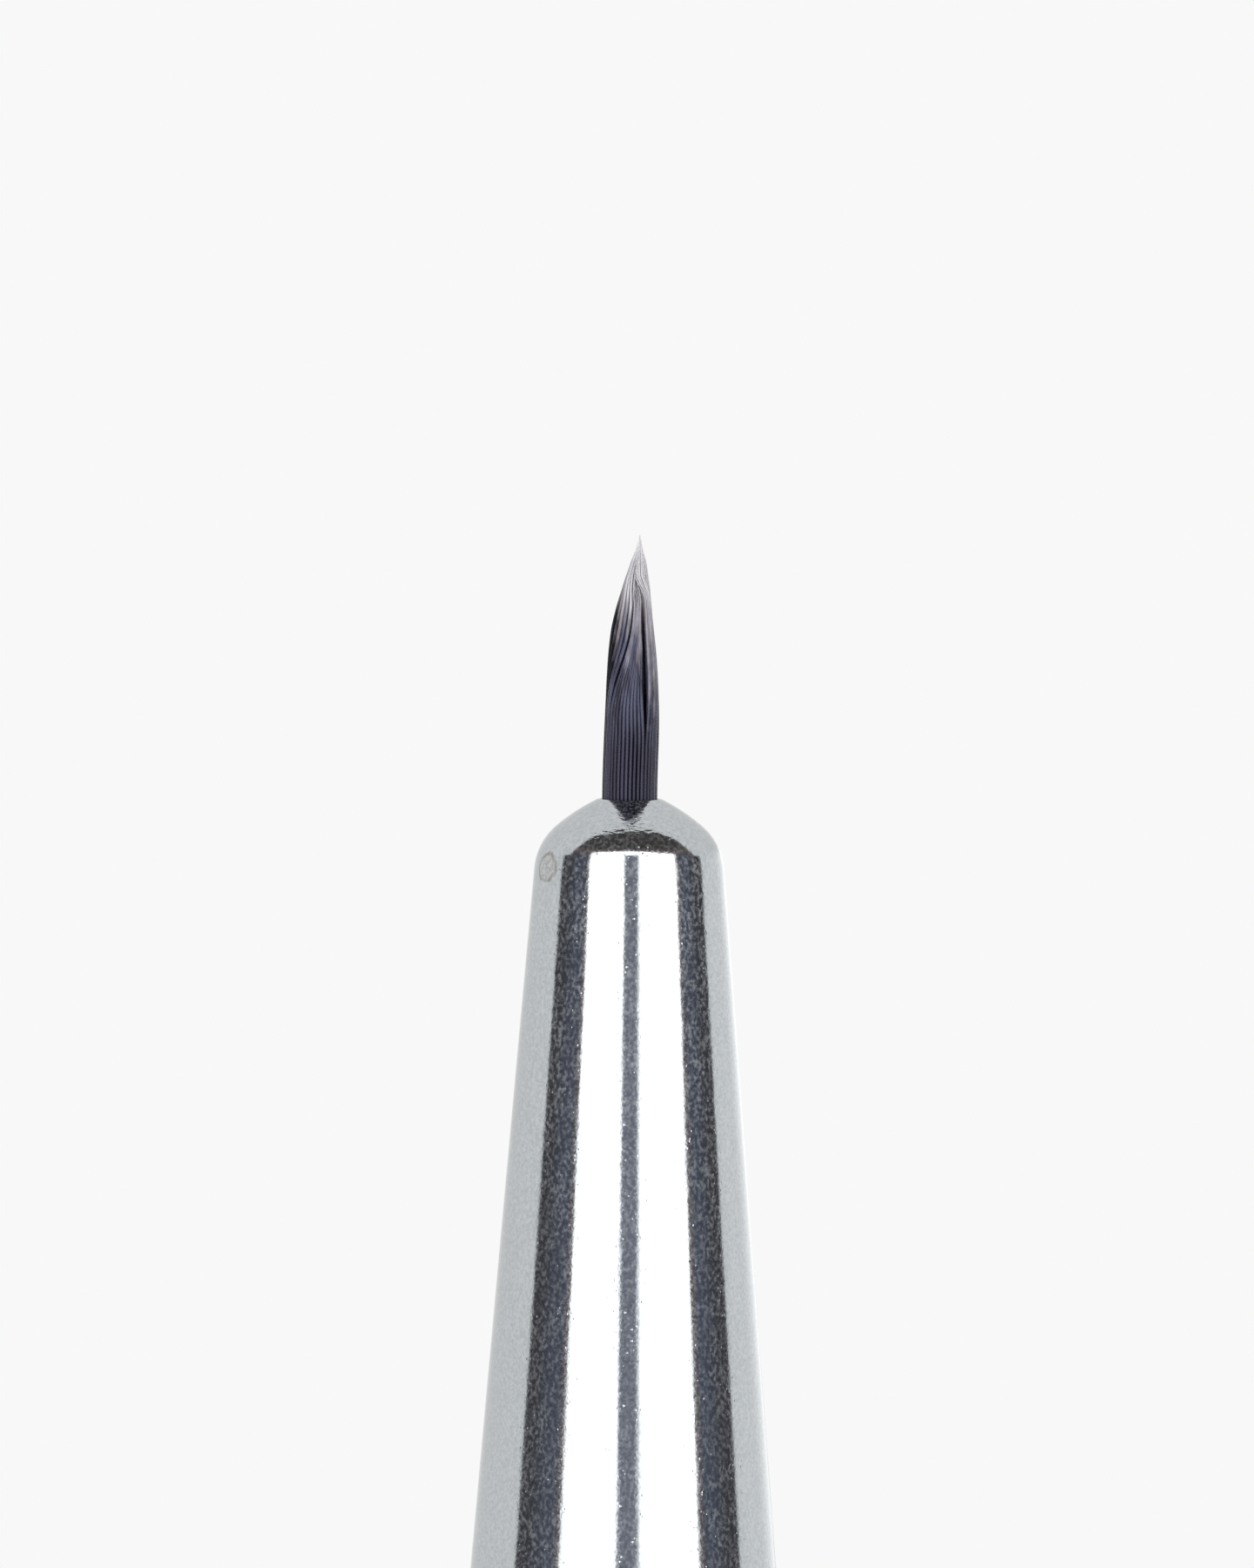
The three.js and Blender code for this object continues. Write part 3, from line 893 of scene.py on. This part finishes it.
GLOW_STOP = 89.0
GLOW_HEIGHT = 26.0
GLOW_COLUMNS = 30
GLOW_ROWS = 27
GLOW_WIDE_GAIN = 0.09
GLOW_WIDE_FROM = (GLOW_START, 60.0)
GLOW_EDGE_GAIN = 0.5
GLOW_EDGE_FROM = (64.0, 82.0)


def unseen(made):
    """Marks a stage object that lights and is reflected, but that the camera looks through."""
    made.visible_camera = False
    return made


def stage_mesh(name, points, faces, material):
    mesh = bpy.data.meshes.new(name)
    mesh.from_pydata([tuple(p) for p in points], [], faces)
    mesh.materials.append(material)
    made = bpy.data.objects.new(name, mesh)
    bpy.context.scene.collection.objects.link(made)
    return made


def glow_material(name, strength, sampling):
    """Light in the colours painted on the mesh; sampling says whether it is aimed at as a lamp."""
    s = Shader(name)
    glow = s.node("ShaderNodeEmission")
    s.join(s.attribute("shade", "Color"), glow.inputs[0])
    s.join(strength, glow.inputs[1])
    s.join(glow.outputs[0], s.node("ShaderNodeOutputMaterial").inputs[0])
    s.owner.cycles.emission_sampling = sampling
    return s.owner


def mirrored(azimuth, elevation):
    """The direction that a surface with this normal mirrors towards the camera, in degrees from the front."""
    across, up = math.radians(azimuth), math.radians(elevation)
    flat = math.cos(up)
    normal = Vector((flat * math.sin(across), -flat * math.cos(across), math.sin(up)))
    return -TOWARDS_CAMERA.reflect(normal)


def reflected_patch(name, distance, rows, material, shades):
    """A surface laid out in rows of (azimuth, elevation) of the ferrule normals that mirror it."""
    points = [STUDIO_CENTRE + mirrored(*normal) * distance for row in rows for normal in row]
    wide = len(rows[0])
    faces = [
        (i * wide + k, i * wide + k + 1, (i + 1) * wide + k + 1, (i + 1) * wide + k)
        for i in range(len(rows) - 1)
        for k in range(wide - 1)
    ]
    made = stage_mesh(name, points, faces, material)
    colours = made.data.attributes.new("shade", "FLOAT_COLOR", "POINT")
    colours.data.foreach_set("color", [channel for shade in shades for channel in (*shade, 1.0)])
    return unseen(made)


def softbox(name, azimuths, low, fade=0.0):
    """A bright panel up to the lights' common arched top; its first edge fades in over some degrees."""
    steps = np.linspace(0, 1, PANEL_STEPS + 1)
    columns = [azimuths[0], *(azimuths[0] + fade + (azimuths[1] - azimuths[0] - fade) * steps)]
    tops = [PANEL_TOP - PANEL_ARCH * (azimuth / 30) ** 2 for azimuth in columns]
    rows = [[(azimuth, low + (top - low) * share) for azimuth, top in zip(columns, tops)] for share in steps]
    shades = [PANEL_FIRST_EDGE, *[(1, 1, 1)] * len(steps)] * len(rows)
    glow = glow_material(name, PANEL_STRENGTH, "FRONT_BACK")
    return reflected_patch(name, BOX_DISTANCE, rows, glow, shades)


def room_shade(azimuth, elevation):
    """Colour of the dim room where a ferrule normal mirrors it."""
    if azimuth < ROOM_LEFT_BORDER:
        shade = ROOM_DARK + (ROOM_LEFT - ROOM_DARK) * ease(azimuth, *LEFT_DARKENS)
        shade = shade + (ROOM_WARM - shade) * ease(azimuth, *LEFT_RIM)
    elif azimuth < ROOM_RIGHT_BORDER:
        shade = ROOM_GAP
    else:
        shade = ROOM_RIGHT + (ROOM_DARK - ROOM_RIGHT) * ease(azimuth, *RIGHT_DARKENS)
        shade = shade + (ROOM_WARM - shade) * ease(azimuth, *RIGHT_RIM)
    above = ROOM_ROOF + (ROOM_WARM - ROOM_ROOF) * ease(elevation, *TOP_RIM)
    return shade + (above - shade) * ease(elevation, *ROOF_FROM)


def room_half_width(elevation):
    """Half the room's width in degrees of the normal: an arch that stands on two square shoulders."""
    share = min(1.0, abs(elevation) / ROOM_TOP)
    arch = (1 - share**ROOM_ARCH_POWER) ** (1 / ROOM_ARCH_POWER)
    return ROOM_HALF_WIDTH * (1.0 if abs(elevation) < ROOM_SHOULDER else arch)


def make_room():
    """The dim room around the two panels."""
    shares = np.linspace(-1, 1, ROOM_COLUMNS)
    rows, shades = [], []
    for elevation in np.linspace(-ROOM_TOP, ROOM_TOP, ROOM_ROWS):
        row = [(ROOM_MIDDLE + share * room_half_width(elevation), elevation) for share in shares]
        rows.append(row)
        shades += [room_shade(*normal) for normal in row]
    return reflected_patch("studio_room", ROOM_RADIUS, rows, glow_material("room_glow", 1.0, "NONE"), shades)


def make_glow():
    """Stronger light from behind on the right, as that outline of the ferrule mirrors it."""
    azimuths = np.linspace(GLOW_START, GLOW_STOP, GLOW_COLUMNS)
    rows, shades = [], []
    for elevation in np.linspace(-GLOW_HEIGHT, GLOW_HEIGHT, GLOW_ROWS):
        rows.append([(azimuth, elevation) for azimuth in azimuths])
        faded = ease(abs(elevation), GLOW_HEIGHT, 0.5 * GLOW_HEIGHT)
        for azimuth in azimuths:
            wide = GLOW_WIDE_GAIN * ease(azimuth, *GLOW_WIDE_FROM)
            edge = GLOW_EDGE_GAIN * ease(azimuth, *GLOW_EDGE_FROM)
            shades.append([level + (wide + edge) * faded for level in SURROUND])
    return reflected_patch("glow_behind", GLOW_RADIUS, rows, glow_material("glow", 1.0, "NONE"), shades)


FLOOR_RADIUS = 0.42  # metres
FLOOR_SOLID_RADIUS = 0.3 * FLOOR_RADIUS
FLOOR_SPOKES = 96
FLOOR_SHADES = ((0.80, 0.80, 0.80), (0.84, 0.84, 0.84))


def floor_material():
    s = Shader("floor_paint")
    place = s.place()
    x, y, _ = s.axes(place)
    speckle = s.noise(place, 400.0, detail=3.0)
    return s.finish(
        Base_Color=s.mix(s.between(speckle, 0.3, 0.7), *FLOOR_SHADES),
        Roughness=0.7,
        Alpha=s.between(s.length(x, y), FLOOR_RADIUS, FLOOR_SOLID_RADIUS),
    )


def make_floor():
    """A pale disc that fades out towards its rim, so that it never cuts across the picture."""
    turns = [TAU * k / FLOOR_SPOKES for k in range(FLOOR_SPOKES)]
    rim = [(FLOOR_RADIUS * math.cos(turn), FLOOR_RADIUS * math.sin(turn), 0) for turn in turns]
    faces = [(0, k + 1, (k + 1) % FLOOR_SPOKES + 1) for k in range(FLOOR_SPOKES)]
    stage_mesh("studio_floor", [(0, 0, 0), *rim], faces, floor_material())


def make_world():
    s = Shader("pale_surround", "world")
    glow = s.node("ShaderNodeBackground")
    s.join(SURROUND, glow.inputs[0])
    s.join(glow.outputs[0], s.node("ShaderNodeOutputWorld").inputs[0])
    bpy.context.scene.world = s.owner


# ---- camera ----
FRAME_HEIGHT = 37.5  # millimetres of the brush's front end that the picture takes in
LENS = 200.0
SENSOR = 36.0
CAMERA_ROLL = 0.47  # degrees
AIM_ABOVE_MOUTH = 0.32
AIM_SIDE = -0.067


def make_camera():
    data = bpy.data.cameras.new("camera")
    data.lens = LENS
    data.sensor_width = SENSOR
    data.clip_start = 0.01
    data.clip_end = 10.0
    camera = bpy.data.objects.new("camera", data)
    bpy.context.scene.collection.objects.link(camera)
    distance = FRAME_HEIGHT / 2 / (SENSOR / 2 / LENS) * MM
    aim = Vector((AIM_SIDE * MM, 0, (MOUTH_Z + AIM_ABOVE_MOUTH) * MM))
    turn = (-TOWARDS_CAMERA).to_track_quat("-Z", "Y").to_matrix()
    turn = turn @ Matrix.Rotation(math.radians(CAMERA_ROLL), 3, "Z")
    camera.matrix_world = Matrix.Translation(aim + TOWARDS_CAMERA * distance) @ turn.to_4x4()
    bpy.context.scene.camera = camera


# ---- assembly ----
make_camera()
make_world()
make_room()
make_glow()
softbox("left_softbox", (-2.6, -24.6), PANEL_LOW, -0.5)
softbox("right_softbox", (5.3, 29.8), PANEL_LOW, 1.8)
softbox("light_bridge", (-3.0, 7.5), BRIDGE_LOW)
make_floor()

shell = make_ferrule(chrome_material())
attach(shell, "brush")
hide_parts("ferrule")

rod = make_handle(handle_material())
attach(rod, "brush")
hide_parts("handle")

make_tuft(filament_material())
dress("setting_resin", resin_material())
dress("tenon_adhesive", adhesive_material())
dress("binding_thread", thread_material())
dress("fused_butt", fused_material())

bpy.context.scene.view_settings.view_transform = "Standard"
